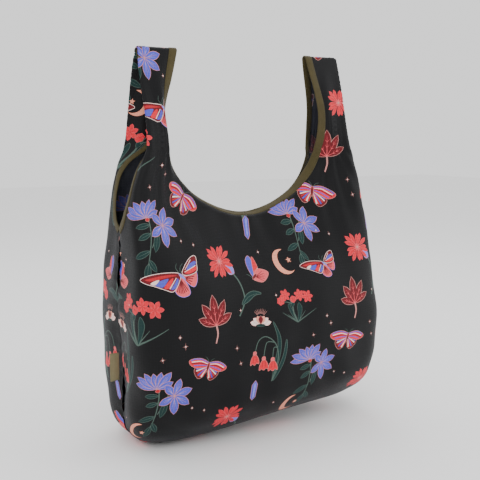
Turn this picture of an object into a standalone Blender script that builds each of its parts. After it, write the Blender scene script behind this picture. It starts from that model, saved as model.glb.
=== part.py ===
"""Foldable tote bag: two printed nylon panels sewn at the sides and along the
bottom, a deep round neck, an armhole at each side and two strap handles.

Metres, +Z up, +X to the right, the front faces -Y.  The origin is the middle
of the flat base.  Cloth is drawn thicker than it is woven, so that every piece
is one closed body.
"""
import math

import bpy
import bmesh
import numpy as np

for old in list(bpy.data.objects):
    bpy.data.objects.remove(old, do_unlink=True)

# ---- driving dimensions, metres ----------------------------------------
HEIGHT = 0.600
PANEL_THICK = 0.0012
TAPE_THICK = 0.0024
TAPE_PROUD = 0.0006
GAP = 0.0003
EDGE_GAP = 0.0015
NECK_TAPE = 0.010
ARM_TAPE = 0.008
NECK_BOTTOM = 0.3525
ARM_BOTTOM = 0.334

# Filled shape of the bag: half width, half depth and squareness by height.
LEVELS = (0.0, 0.074, 0.154, 0.246, 0.338, 0.431, 0.523, 0.600)
HALF_WIDTH = (0.210, 0.2135, 0.2150, 0.2124, 0.2093, 0.2058, 0.1971, 0.1774)
HALF_DEPTH = (0.086, 0.1045, 0.1085, 0.0985, 0.0785, 0.0450, 0.0210, 0.0100)
SQUARE = (3.2, 4.2, 5.6, 6.2, 7.0, 8.0, 8.0, 8.0)
BASE_ROUND_X = 0.040
BASE_ROUND_Z = 0.057
BASE_ROUND_Y = 0.064
# Neck opening: half width against the square root of the height above its
# lowest point.
NECK_STEPS = (0.0, 0.22, 0.40, 0.58, 0.78, 1.0)
NECK_HALF = (0.0, 0.053, 0.0965, 0.1255, 0.1345, 0.1070)
# How far the neck edge is drawn in towards the middle plane.
DRAW_LEVELS = (NECK_BOTTOM, 0.41, 0.47, 0.60)
DRAW_IN = (0.13, 0.22, 0.66, 1.0)
# Armhole: half opening measured round the side from the side seam.
ARM_LEVELS = (ARM_BOTTOM, 0.345, 0.360, 0.385, 0.410, 0.440, 0.470, 0.520, 0.600)
ARM_HALF = (0.0, 0.015, 0.024, 0.032, 0.029, 0.018, 0.008, 0.0025, 0.0018)
# Side of the handle folded inwards.
TUCK_LEVELS = (0.34, 0.42, 0.50, 0.60)
TUCK = (0.0, 0.006, 0.008, 0.0)
# Handle swing: axis runs front to back through the foot of the handle.
SWING_X = 0.1500
SWING_Z = 0.4000
SWING_RADIUS = 0.0550
SWING_IN = 30.0
SWING_OUT = 35.0


def smooth(knots, values, x):
    """Monotone cubic through the given knots."""
    k = np.asarray(knots, float)
    v = np.asarray(values, float)
    x = np.clip(np.asarray(x, float), k[0], k[-1])
    h = np.diff(k)
    d = np.diff(v) / h
    m = np.zeros(len(k))
    m[0] = d[0]
    m[-1] = d[-1]
    for i in range(1, len(k) - 1):
        if d[i - 1] * d[i] > 0:
            w1 = 2 * h[i] + h[i - 1]
            w2 = h[i] + 2 * h[i - 1]
            m[i] = (w1 + w2) / (w1 / d[i - 1] + w2 / d[i])
    i = np.clip(np.searchsorted(k, x) - 1, 0, len(h) - 1)
    t = (x - k[i]) / h[i]
    a = (1 + 2 * t) * (1 - t) ** 2 * v[i] + t * (1 - t) ** 2 * h[i] * m[i]
    return a + t * t * (3 - 2 * t) * v[i + 1] + t * t * (t - 1) * h[i] * m[i + 1]


def corner(z, radius, reach):
    """Inset of the rounded bottom edge at height z."""
    k = np.clip(1 - z / radius, 0, 1)
    return reach * (1 - np.sqrt(1 - k * k))


def half_width(z):
    return smooth(LEVELS, HALF_WIDTH, z) - corner(z, BASE_ROUND_Z, BASE_ROUND_X)


def half_depth(z):
    return smooth(LEVELS, HALF_DEPTH, z) - corner(z, BASE_ROUND_Y, BASE_ROUND_Y)


def neck_half(z):
    q = np.sqrt(np.clip((z - NECK_BOTTOM) / (HEIGHT - NECK_BOTTOM), 0, 1))
    return smooth(NECK_STEPS, NECK_HALF, q)


def draw(x, z):
    """Share of the depth left near the neck edge."""
    edge = smooth(DRAW_LEVELS, DRAW_IN, z)
    width = np.interp(z, (NECK_BOTTOM, 0.47), (0.077, 0.036))
    side = np.maximum(np.abs(x) - 0.06, 0)
    below = np.hypot(np.maximum(NECK_BOTTOM - z, 0), side)
    beside = np.maximum(np.abs(x) - neck_half(z), 0)
    away = np.where(z < NECK_BOTTOM, below, beside)
    return 1 - (1 - edge) * np.exp(-(away / width) ** 2)


STATIONS = 161


def section(z):
    """Front half of the outline at height z, evenly spaced left to right."""
    a = half_width(z)
    b = half_depth(z)
    n = smooth(LEVELS, SQUARE, z)
    p = np.linspace(math.pi, 0, 721)
    c = np.cos(p)
    x = a * np.sign(c) * np.abs(c) ** (2 / n)
    y = -b * np.abs(np.sin(p)) ** (2 / n)
    tuck = smooth(TUCK_LEVELS, TUCK, z) * np.clip(1 - np.abs(y) / b, 0, 1)
    x = x - np.sign(x) * tuck * (np.abs(x) > 0.9 * a)
    y = y * draw(x, z + 0 * x)
    run = np.concatenate(([0], np.cumsum(np.hypot(np.diff(x), np.diff(y)))))
    s = np.linspace(0, run[-1], STATIONS)
    return np.interp(s, run, x), np.interp(s, run, y), run[-1] / 2


HEIGHTS = np.concatenate((np.linspace(0, 0.07, 36), np.linspace(0.072, HEIGHT, 177)))
TABLE = [section(z) for z in HEIGHTS]
TABLE_X = np.array([row[0] for row in TABLE])
TABLE_Y = np.array([row[1] for row in TABLE])
TABLE_S = np.array([row[2] for row in TABLE])


def lookup(table, s, z):
    s = np.asarray(s, float)
    z = np.asarray(z, float)
    half = np.interp(z, HEIGHTS, TABLE_S)
    u = np.clip((s / half + 1) / 2, 0, 1) * (STATIONS - 1)
    i = np.minimum(u.astype(int), STATIONS - 2)
    k = np.clip(np.searchsorted(HEIGHTS, z) - 1, 0, len(HEIGHTS) - 2)
    f = (z - HEIGHTS[k]) / (HEIGHTS[k + 1] - HEIGHTS[k])
    g = u - i
    low = table[k, i] * (1 - g) + table[k, i + 1] * g
    high = table[k + 1, i] * (1 - g) + table[k + 1, i + 1] * g
    return low * (1 - f) + high * f


def half_round(z):
    """Distance round the front from the middle to the side seam."""
    return np.interp(z, HEIGHTS, TABLE_S)


def front_point(s, z):
    """Point of the front at distance s round the section, height z."""
    x = lookup(TABLE_X, s, z)
    y = lookup(TABLE_Y, s, z)
    y = np.minimum(y, -GAP / 2)
    return np.stack((x, y, z + 0 * x), -1)


def arm_half(z):
    return smooth(ARM_LEVELS, ARM_HALF, z)


def place_of(x, z):
    """Distance round the section of the front point with this x."""
    half = float(half_round(z))
    s = np.linspace(0, half, 200)
    return float(np.interp(x, lookup(TABLE_X, s, z + 0 * s), s))


# ---- clearance of the swinging handles -----------------------------------
def in_handle(x, z, margin):
    away = np.abs(x - SWING_X)
    disc = np.where(away < SWING_RADIUS, -np.sqrt(np.maximum(SWING_RADIUS ** 2 - away ** 2, 0)), 0)
    low = SWING_Z + disc - margin
    inside = (x > neck_half(np.minimum(z, HEIGHT)) - margin) & (x < half_width(np.minimum(z, HEIGHT)) + margin)
    near = np.hypot(x - SWING_X, z - SWING_Z) < SWING_RADIUS + margin
    return ((z > low) & inside & (z < HEIGHT)) | near


SWEEP = np.radians(np.linspace(-SWING_OUT, SWING_IN, 53))


def swept(x, z, margin=0.0022):
    """True where a right-hand handle passes at some angle of its swing."""
    dx = np.atleast_1d(np.asarray(x, float))[:, None] - SWING_X
    dz = np.atleast_1d(np.asarray(z, float))[:, None] - SWING_Z
    c = np.cos(SWEEP)[None, :]
    s = np.sin(SWEEP)[None, :]
    back_x = SWING_X + dx * c + dz * s
    back_z = SWING_Z - dx * s + dz * c
    return in_handle(back_x, back_z, margin).any(1)


# ---- mesh helpers --------------------------------------------------------
MATERIALS = {}


def material(name, colour, rough):
    mat = bpy.data.materials.new(name)
    mat.use_nodes = True
    node = mat.node_tree.nodes["Principled BSDF"]
    node.inputs["Base Color"].default_value = (*colour, 1)
    node.inputs["Roughness"].default_value = rough
    MATERIALS[name] = mat
    return mat


material("ripstop_nylon", (0.012, 0.012, 0.016), 0.55)
material("olive_binding", (0.085, 0.075, 0.030), 0.75)
material("seam_tape", (0.030, 0.032, 0.036), 0.8)


def grid_normals(grid):
    du = np.gradient(grid, axis=0)
    dv = np.gradient(grid, axis=1)
    n = np.cross(dv, du)
    size = np.linalg.norm(n, axis=-1, keepdims=True)
    return n / np.maximum(size, 1e-12)


def finish(name, verts, faces, slot, pivot=(0, 0, 0)):
    mesh = bpy.data.meshes.new(name)
    shift = np.asarray(pivot, float)
    mesh.from_pydata([tuple(np.asarray(v) - shift) for v in verts], [], faces)
    bm = bmesh.new()
    bm.from_mesh(mesh)
    bmesh.ops.recalc_face_normals(bm, faces=bm.faces)
    bmesh.ops.triangulate(bm, faces=bm.faces)
    bm.to_mesh(mesh)
    bm.free()
    for poly in mesh.polygons:
        poly.use_smooth = False
    obj = bpy.data.objects.new(name, mesh)
    obj.location = pivot
    mesh.materials.append(MATERIALS[slot])
    bpy.context.scene.collection.objects.link(obj)
    return obj


def slab(name, grid, slot, thick=PANEL_THICK, lift=0.0, pivot=(0, 0, 0), mirror_y=False, mirror_x=False,
         normals=None):
    """Closed body: a grid of outer points with thickness towards the inside."""
    if normals is None:
        normals = grid_normals(grid)
    towards = np.sum(normals * (grid - np.array((0, 0, 0.25))) * np.array((1, 1, 0.2)))
    if towards < 0:
        normals = -normals
    flip = np.array((-1 if mirror_x else 1, -1 if mirror_y else 1, 1))
    outer = (grid + normals * lift) * flip
    inner = (grid + normals * (lift - thick)) * flip
    rows, cols = grid.shape[:2]
    verts = np.concatenate((outer.reshape(-1, 3), inner.reshape(-1, 3)))
    count = rows * cols
    faces = []
    for i in range(rows - 1):
        for j in range(cols - 1):
            a = i * cols + j
            faces.append((a, a + 1, a + cols + 1, a + cols))
            faces.append((count + a, count + a + cols, count + a + cols + 1, count + a + 1))
    rim = [(0, j) for j in range(cols)]
    rim += [(i, cols - 1) for i in range(1, rows)]
    rim += [(rows - 1, j) for j in range(cols - 2, -1, -1)]
    rim += [(i, 0) for i in range(rows - 2, 0, -1)]
    ids = [i * cols + j for i, j in rim]
    for k, a in enumerate(ids):
        b = ids[(k + 1) % len(ids)]
        faces.append((a, count + a, count + b, b))
    return finish(name, verts, faces, slot, pivot)


def block(name, low, high, slot, pivot=(0, 0, 0)):
    xs = (low[0], high[0])
    ys = (low[1], high[1])
    zs = (low[2], high[2])
    verts = [(x, y, z) for z in zs for y in ys for x in xs]
    faces = [(0, 2, 3, 1), (4, 5, 7, 6), (0, 1, 5, 4), (2, 6, 7, 3), (0, 4, 6, 2), (1, 3, 7, 5)]
    return finish(name, verts, faces, slot, pivot)


# ---- neck edge -------------------------------------------------------------
NECK_Q = np.linspace(0, 1, 201)
NECK_Z = NECK_BOTTOM + (HEIGHT - NECK_BOTTOM) * NECK_Q ** 2
NECK_X = neck_half(NECK_Z)
NECK_TX = np.gradient(NECK_X)
NECK_TZ = np.gradient(NECK_Z)
NECK_LEN = np.hypot(NECK_TX, NECK_TZ)
NECK_NX = NECK_TZ / NECK_LEN
NECK_NZ = -NECK_TX / NECK_LEN
NECK_RUN = np.concatenate(([0], np.cumsum(np.hypot(np.diff(NECK_X), np.diff(NECK_Z)))))


def neck_curve(run, inset):
    """Point (x, z) at a distance along the neck edge, moved into the cloth."""
    x = np.interp(run, NECK_RUN, NECK_X)
    z = np.interp(run, NECK_RUN, NECK_Z)
    nx = np.interp(run, NECK_RUN, NECK_NX)
    nz = np.interp(run, NECK_RUN, NECK_NZ)
    return x + inset * nx, np.minimum(z + inset * nz, HEIGHT)


def front_at(x, z):
    s = np.array([place_of(abs(a), c) for a, c in zip(np.ravel(x), np.ravel(z))])
    s = s * np.sign(np.ravel(x) + 1e-12)
    return front_point(s, np.ravel(z)).reshape(np.shape(x) + (3,))


RUNS = np.linspace(0, NECK_RUN[-1], 400)
PX, PZ = neck_curve(RUNS, 0.0)
CLEAR = ~(swept(PX, PZ) | swept(*neck_curve(RUNS, NECK_TAPE)))
BODY_NECK_END = RUNS[np.argmin(CLEAR)] - 0.004

OFF_X, OFF_Z = neck_curve(np.linspace(0, NECK_RUN[-1], 600), NECK_TAPE + EDGE_GAP)
OFF_Z = OFF_Z[:np.argmax(OFF_X)]
OFF_X = OFF_X[:np.argmax(OFF_X)]


# ---- armhole edge ------------------------------------------------------------
ARM_Z = np.concatenate((np.linspace(ARM_BOTTOM, 0.36, 60), np.linspace(0.361, HEIGHT, 200)))
ARM_G = arm_half(ARM_Z)
ARM_TG = np.gradient(ARM_G)
ARM_TZ = np.gradient(ARM_Z)
ARM_LEN = np.hypot(ARM_TG, ARM_TZ)
ARM_RUN = np.concatenate(([0], np.cumsum(np.hypot(np.diff(ARM_G), np.diff(ARM_Z)))))


def arm_curve(run, inset):
    g = np.interp(run, ARM_RUN, ARM_G) + inset * np.interp(run, ARM_RUN, ARM_TZ / ARM_LEN)
    z = np.interp(run, ARM_RUN, ARM_Z) - inset * np.interp(run, ARM_RUN, ARM_TG / ARM_LEN)
    return np.maximum(g, 0), np.minimum(z, HEIGHT)


ARM_OFF_G, ARM_OFF_Z = arm_curve(np.linspace(0, ARM_RUN[-1], 600), ARM_TAPE + EDGE_GAP)
ARM_OFF_Z = ARM_OFF_Z[:np.argmax(ARM_OFF_G)]
ARM_OFF_G = ARM_OFF_G[:np.argmax(ARM_OFF_G)]


# ---- body panels -----------------------------------------------------------
def body_top(s_share):
    """Height where the body panel ends, for a share of the way to the seam."""
    z = np.linspace(0.24, 0.44, 801)
    s = s_share * half_round(z)
    x = lookup(TABLE_X, s, z)
    free = ~swept(x, z)
    free &= z < np.interp(x, OFF_X, OFF_Z, right=1.0)
    rest = half_round(z) - s
    free &= z < np.interp(rest, ARM_OFF_G, ARM_OFF_Z, right=1.0)
    stop = np.argmin(free) if not free.all() else len(z) - 1
    return z[max(stop - 1, 0)]


shares = np.concatenate((np.linspace(0, 0.16, 4), np.linspace(0.19, 0.42, 12), np.linspace(0.45, 0.66, 5),
                         np.linspace(0.70, 0.86, 7), np.linspace(0.885, 1.0, 5)))
tops = np.array([body_top(v) for v in shares])
shares = np.concatenate((-shares[:0:-1], shares))
tops = np.concatenate((tops[:0:-1], tops))

BASE_IN = 0.86
SEAM_OUT = 0.003
steps = np.concatenate((np.array([-1.0, -0.5]), np.array([0, 0.0025, 0.008, 0.018, 0.033, 0.05, 0.075]),
                        np.linspace(0.16, 1.0, 9)))
rows = []
for step in steps:
    if step <= 0:
        z = np.zeros(len(shares))
        p = front_point(shares * half_round(z), z)
        p[:, 0] *= 1 - (1 - BASE_IN) * -step
        p[:, 1] = np.minimum(p[:, 1] * (1 + step), -SEAM_OUT - GAP)
    else:
        share = np.where(step < 0.1, 0, (step - 0.075) / 0.925)
        z = step + share * 0 if step < 0.1 else 0.075 + (tops - 0.075) * share
        z = z + np.zeros(len(shares))
        p = front_point(shares * half_round(z), z)
    rows.append(p)
grid = np.array(rows)


def drawn_in(points, first, last):
    """The end rows moved a hair towards their neighbours."""
    for end, beside, wanted in ((0, 1, first), (-1, -2, last)):
        if wanted:
            way = points[beside] - points[end]
            points[end] += way / np.linalg.norm(way, axis=-1, keepdims=True) * PANE_GAP


def pane(name, rows, cols, mirror_y):
    """One part of a panel, between two rows and two columns of its grid."""
    part = grid[rows[0]:rows[1] + 1, cols[0]:cols[1] + 1].copy()
    normals = panel_normals[rows[0]:rows[1] + 1, cols[0]:cols[1] + 1]
    drawn_in(part, rows[0] > 0, rows[1] < len(grid) - 1)
    drawn_in(part.swapaxes(0, 1), cols[0] > 0, cols[1] < len(shares) - 1)
    slab(name, part, "ripstop_nylon", mirror_y=mirror_y, normals=normals)


PANE_GAP = 0.0001
BASE_ROW = int(np.argmin(np.abs(steps - 0.075)))
TURN = int(np.argmin(np.abs(shares + 0.66)))
LAST = len(shares) - 1
panel_normals = grid_normals(grid)
for side in ("front", "back"):
    for place, cols in (("_left", (0, TURN)), ("", (TURN, LAST - TURN)), ("_right", (LAST - TURN, LAST))):
        pane(f"{side}_panel{place}", (BASE_ROW, len(steps) - 1), cols, side == "back")
        pane(f"{side}_base{place}", (0, BASE_ROW), cols, side == "back")

# ---- neck bindings of the body ---------------------------------------------
across = np.linspace(0, NECK_TAPE, 3)
along = np.linspace(-BODY_NECK_END, BODY_NECK_END, 41)
cx, cz = neck_curve(np.abs(along)[None, :], across[:, None])
cx = cx * np.sign(along)[None, :]
grid = front_at(cx, cz)
slab("front_neck_binding", grid, "olive_binding", TAPE_THICK, TAPE_PROUD)
slab("back_neck_binding", grid, "olive_binding", TAPE_THICK, TAPE_PROUD, mirror_y=True)


def arm_points(run, inset):
    g, z = arm_curve(run, inset)
    return front_point(half_round(z) - g, z)


def arm_clear(run):
    p = arm_points(np.array([run, run]), np.array([0.0, ARM_TAPE]))
    return not swept(p[:, 0], p[:, 2]).any()


arm_runs = np.linspace(0, 0.1, 201)
arm_ok = np.array([arm_clear(r) for r in arm_runs])
BODY_ARM_END = arm_runs[np.argmin(arm_ok)] - 0.001

across = np.linspace(0, ARM_TAPE, 3)
along = np.linspace(0, BODY_ARM_END, 12)
half = arm_points(along[None, :], across[:, None])
front = half[:, :0:-1].copy()
back = half[:, 1:].copy()
back[..., 1] *= -1
middle = half[:, :1].copy()
middle[..., 1] = 0
loop = np.concatenate((front, middle, back), axis=1)
slab("right_armhole_binding", loop, "olive_binding", TAPE_THICK, TAPE_PROUD)
slab("left_armhole_binding", loop, "olive_binding", TAPE_THICK, TAPE_PROUD, mirror_x=True)

# ---- seam tapes inside --------------------------------------------------------
SEAM_HALF = 0.007
zs = np.linspace(0.075, ARM_BOTTOM - ARM_TAPE - 0.006, 14)
ys = np.linspace(-SEAM_HALF, SEAM_HALF, 3)
seam = np.array([[(float(half_width(z)) - PANEL_THICK - GAP, y, z) for y in ys] for z in zs])
slab("right_side_seam_tape", seam, "seam_tape", 0.0010)
slab("left_side_seam_tape", seam, "seam_tape", 0.0010, mirror_x=True)
seam_x = BASE_IN * float(half_width(0.0))
block("bottom_seam", (-seam_x, -SEAM_OUT, 0), (seam_x, SEAM_OUT, PANEL_THICK), "ripstop_nylon")
base_z = PANEL_THICK + GAP
block("bottom_seam_tape", (-0.135, -SEAM_HALF, base_z), (0.135, SEAM_HALF, base_z + 0.001), "seam_tape")

# ---- handles -------------------------------------------------------------------
def strap_row(z_low_of, count, rise):
    """One row of the strap between its two bindings."""
    out = []
    for k in range(count):
        f = k / (count - 1)
        low = z_low_of(f)
        z = low + (HEIGHT - low) * rise
        out.append(strap_point(f, z))
    return out


def strap_limits(z):
    x, zz = neck_curve(RUNS, NECK_TAPE + EDGE_GAP)
    inner_x = float(np.interp(z, zz, x))
    g, gz = arm_curve(np.linspace(0, ARM_RUN[-1], 500), ARM_TAPE + EDGE_GAP + 0.0006)
    outer = float(half_round(z)) - float(np.interp(z, gz, g))
    return place_of(inner_x, z), outer


def strap_point(f, z):
    inner, outer = strap_limits(z)
    return front_point(inner + (outer - inner) * f, z)


def strap_low(f):
    """Lowest point of the strap for a share across: the rounded foot."""
    zs = np.linspace(SWING_Z - SWING_RADIUS - 0.002, SWING_Z + 0.012, 140)
    for z in zs:
        x = float(strap_point(f, z)[0])
        away = abs(x - SWING_X)
        if away < SWING_RADIUS and z >= SWING_Z - math.sqrt(SWING_RADIUS ** 2 - away ** 2):
            return z
    return zs[-1]


COLS = 12
lows = [strap_low(k / (COLS - 1)) for k in range(COLS)]
rises = np.concatenate((np.linspace(0, 0.4, 8), np.linspace(0.5, 1.0, 6)))
grid = np.array([[strap_point(k / (COLS - 1), lows[k] + (HEIGHT - lows[k]) * r) for k in range(COLS)]
                 for r in rises])

neck_low = RUNS[np.argmax(neck_curve(RUNS, 0.0)[1] > SWING_Z + 0.0005)]
across = np.linspace(0, NECK_TAPE, 3)
along = np.linspace(neck_low, NECK_RUN[-1], 16)
nx, nz = neck_curve(along[None, :], across[:, None])
neck_grid = front_at(nx, nz)

arm_low = ARM_RUN[np.argmax(ARM_Z > SWING_Z + 0.0015)]
across = np.linspace(0, ARM_TAPE, 3)
along = np.concatenate((np.linspace(arm_low, 0.16, 10), np.linspace(0.176, ARM_RUN[-1], 8)))
arm_grid = arm_points(along[None, :], across[:, None])
arm_grid[..., 1] = np.minimum(arm_grid[..., 1], -0.0016)

for side, left in (("right", False), ("left", True)):
    pivot = (-SWING_X if left else SWING_X, 0, SWING_Z)
    for face, behind in (("front", False), ("back", True)):
        slab(f"{side}_handle_{face}_strap", grid, "ripstop_nylon", pivot=pivot, mirror_y=behind, mirror_x=left)
        slab(f"{side}_handle_{face}_neck_binding", neck_grid, "olive_binding", TAPE_THICK, TAPE_PROUD,
             pivot, behind, left)
        slab(f"{side}_handle_{face}_armhole_binding", arm_grid, "olive_binding", TAPE_THICK, TAPE_PROUD,
             pivot, behind, left)
    low_x = 0.1205
    high_x = 0.1655
    if left:
        low_x, high_x = -high_x, -low_x
    block(f"{side}_handle_top_seam", (low_x, -0.0062, HEIGHT - 0.010), (high_x, 0.0062, HEIGHT), "seam_tape", pivot)

# ---- label in the left side seam ---------------------------------------------------
LABEL_LOW = 0.104
LABEL_HIGH = 0.146
LABEL_OUT = 0.015
label_x = -float(half_width(0.125)) - 0.0015
block("side_label", (label_x - LABEL_OUT, -0.0005, LABEL_LOW), (label_x, 0.0005, LABEL_HIGH),
      "olive_binding", (label_x, 0, 0.125))

# ---- stow pouch inside the left side seam --------------------------------------------
POUCH_LOW = 0.140
POUCH_HIGH = 0.290
POUCH_WIDE = 0.130
pouch_x = -0.2075
pouch_pivot = (pouch_x, 0, POUCH_LOW)
block("stow_pouch_front", (pouch_x, -0.0014, POUCH_LOW + 0.0103), (pouch_x + POUCH_WIDE - 0.0103, -0.0002, POUCH_HIGH),
      "ripstop_nylon", pouch_pivot)
block("stow_pouch_back", (pouch_x, 0.0002, POUCH_LOW + 0.0103), (pouch_x + POUCH_WIDE - 0.0103, 0.0014, POUCH_HIGH),
      "ripstop_nylon", pouch_pivot)
w = POUCH_WIDE
outline = [(0, 0), (w, 0), (w, POUCH_HIGH - POUCH_LOW), (w - 0.010, POUCH_HIGH - POUCH_LOW), (w - 0.010, 0.010), (0, 0.010)]
verts = [(pouch_x + x, y, POUCH_LOW + z) for y in (-0.0018, 0.0018) for x, z in outline]
faces = [(0, 1, 4, 5), (1, 2, 3, 4), (6, 11, 10, 7), (7, 10, 9, 8)]
faces += [(k, k + 6, (k + 1) % 6 + 6, (k + 1) % 6) for k in range(6)]
finish("stow_pouch_binding", verts, faces, "olive_binding", pouch_pivot)
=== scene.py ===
"""Looks of the foldable tote bag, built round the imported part.

Metres, +Z up, the front faces -Y.  Each half of a panel is one sheet of cloth
that runs from the bottom seam to the top of its handle.  The print is cut into
the sheet as faces of their own colour.
"""
import math

import bmesh
import bpy
import numpy as np
from mathutils.geometry import delaunay_2d_cdt
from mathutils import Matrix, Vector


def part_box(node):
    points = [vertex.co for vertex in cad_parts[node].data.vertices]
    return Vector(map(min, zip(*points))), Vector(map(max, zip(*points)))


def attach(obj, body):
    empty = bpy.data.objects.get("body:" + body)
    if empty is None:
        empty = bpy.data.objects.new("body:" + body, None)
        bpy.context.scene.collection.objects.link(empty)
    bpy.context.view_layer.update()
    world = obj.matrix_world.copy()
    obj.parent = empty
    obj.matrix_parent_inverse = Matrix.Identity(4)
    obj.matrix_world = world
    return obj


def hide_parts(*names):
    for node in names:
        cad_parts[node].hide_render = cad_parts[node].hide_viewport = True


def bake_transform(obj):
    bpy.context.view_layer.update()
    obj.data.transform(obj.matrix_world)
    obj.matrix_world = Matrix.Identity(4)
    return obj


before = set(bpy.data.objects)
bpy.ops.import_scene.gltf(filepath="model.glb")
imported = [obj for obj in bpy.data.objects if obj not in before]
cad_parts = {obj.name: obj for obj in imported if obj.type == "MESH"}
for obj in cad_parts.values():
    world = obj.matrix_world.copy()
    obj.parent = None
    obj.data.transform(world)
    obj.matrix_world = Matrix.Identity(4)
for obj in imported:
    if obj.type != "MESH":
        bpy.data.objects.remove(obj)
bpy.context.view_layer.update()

# ---- shape of the filled bag ------------------------------------------------
HEIGHT = 0.600
CLOTH = 0.00035
NECK_BOTTOM = 0.3525
ARM_BOTTOM = 0.334
NECK_TAPE = 0.0118
ARM_TAPE = 0.0085
LEVELS = (0.0, 0.074, 0.154, 0.246, 0.338, 0.431, 0.523, 0.575, 0.600)
HALF_WIDTH = (0.2140, 0.2180, 0.2195, 0.2165, 0.2125, 0.2085, 0.2015, 0.1945, 0.1890)
HALF_DEPTH = (0.092, 0.1035, 0.1085, 0.0985, 0.0785, 0.0450, 0.0200, 0.0085, 0.0045)
SQUARE = (3.3, 4.4, 5.8, 6.4, 7.2, 8.0, 8.0, 8.0, 8.0)
ROUND_X = 0.044
ROUND_Z = 0.062
ROUND_Y = 0.078
NECK_STEPS = (0.0, 0.22, 0.40, 0.58, 0.78, 1.0)
NECK_HALF = (0.0, 0.053, 0.0970, 0.1270, 0.1360, 0.1165)
DRAW_LEVELS = (NECK_BOTTOM, 0.41, 0.47, 0.56, 0.60)
DRAW_IN = (0.22, 0.30, 0.62, 0.95, 1.0)
ARM_LEVELS = (ARM_BOTTOM, 0.345, 0.360, 0.385, 0.410, 0.435, 0.460, 0.500, 0.600)
ARM_HALF = (0.0, 0.0105, 0.0170, 0.0210, 0.0190, 0.0130, 0.0090, 0.0070, 0.0055)
TUCK_LEVELS = (0.345, 0.375, 0.400, 0.430, 0.455, 0.470, 0.500, 0.550, 0.575, 0.600)
TUCK = (0.0, 0.004, 0.010, 0.026, 0.056, 0.064, 0.058, 0.041, 0.033, 0.024)
SEAM_LEVELS = (0.03, 0.09, 0.16, 0.20, 0.24)
SEAM_IN = (0.0, 0.0065, 0.0065, 0.0022, 0.0)
SEAM_REACH = 0.030
FOLD_LEVELS = (0.360, 0.400, 0.450, 0.500, 0.560, 0.600)
FOLD_IN = (0.0, 0.006, 0.014, 0.013, 0.006, 0.001)
LIFT = 0.020
LIFT_FROM = -0.17
LIFT_SPAN = 0.30
CORNER_OUT = 0.007
ROLL = 0.0215
BEND = 0.0100
ROLL_LEVELS = (NECK_BOTTOM, 0.380, 0.420, 0.470, 0.490, 0.550, 0.600)
ROLL_LEFT = (72.0, 74.0, 80.0, 80.0, 70.0, 24.0, 0.0)
ROLL_RIGHT = (72.0, 68.0, 42.0, 14.0, 6.0, 2.0, 0.0)
BASE_IN = 0.86


def smooth(knots, values, x):
    """Monotone cubic through the given knots."""
    k = np.asarray(knots, float)
    v = np.asarray(values, float)
    x = np.clip(np.asarray(x, float), k[0], k[-1])
    h = np.diff(k)
    d = np.diff(v) / h
    m = np.zeros(len(k))
    m[0] = d[0]
    m[-1] = d[-1]
    for i in range(1, len(k) - 1):
        if d[i - 1] * d[i] > 0:
            w1 = 2 * h[i] + h[i - 1]
            w2 = h[i] + 2 * h[i - 1]
            m[i] = (w1 + w2) / (w1 / d[i - 1] + w2 / d[i])
    i = np.clip(np.searchsorted(k, x) - 1, 0, len(h) - 1)
    t = (x - k[i]) / h[i]
    a = (1 + 2 * t) * (1 - t) ** 2 * v[i] + t * (1 - t) ** 2 * h[i] * m[i]
    return a + t * t * (3 - 2 * t) * v[i + 1] + t * t * (t - 1) * h[i] * m[i + 1]


def corner(z, radius, reach):
    k = np.clip(1 - z / radius, 0, 1)
    return reach * (1 - np.sqrt(1 - k * k))


def half_width(z):
    top = corner(HEIGHT - z, 0.006, 0.003)
    return smooth(LEVELS, HALF_WIDTH, z) - corner(z, ROUND_Z, ROUND_X) - top


def half_depth(z):
    k = np.clip(1 - (HEIGHT - z) / 0.005, 0, 1)
    close = np.sqrt(np.maximum(1 - k * k, 0.0004))
    return (smooth(LEVELS, HALF_DEPTH, z) - corner(z, ROUND_Y, ROUND_Y)) * close


def neck_half(z):
    q = np.sqrt(np.clip((z - NECK_BOTTOM) / (HEIGHT - NECK_BOTTOM), 0, 1))
    return smooth(NECK_STEPS, NECK_HALF, q)


CURVE_Z = NECK_BOTTOM + (HEIGHT - NECK_BOTTOM) * np.linspace(0, 1, 161) ** 2
CURVE_X = neck_half(CURVE_Z)


def draw(x, z):
    """Share of the depth left near the neck edge."""
    side = np.abs(x)
    far = np.hypot(side[:, None] - CURVE_X, z - CURVE_Z)
    away = far.min(1)
    if z > NECK_BOTTOM:
        away = np.where(side < neck_half(z), 0, away)
    level = max(z, NECK_BOTTOM)
    edge = float(smooth(DRAW_LEVELS, DRAW_IN, level))
    width = float(smooth((NECK_BOTTOM, 0.40, 0.47), (0.084, 0.062, 0.036), level))
    return 1 - (1 - edge) * np.exp(-(away / width) ** 2)


def step_up(t):
    t = np.clip(t, 0, 1)
    return t * t * (3 - 2 * t)


def lift_at(x):
    """Rise of the bottom towards the right."""
    return LIFT * step_up((x - LIFT_FROM) / LIFT_SPAN)


STATIONS = 321


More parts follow.
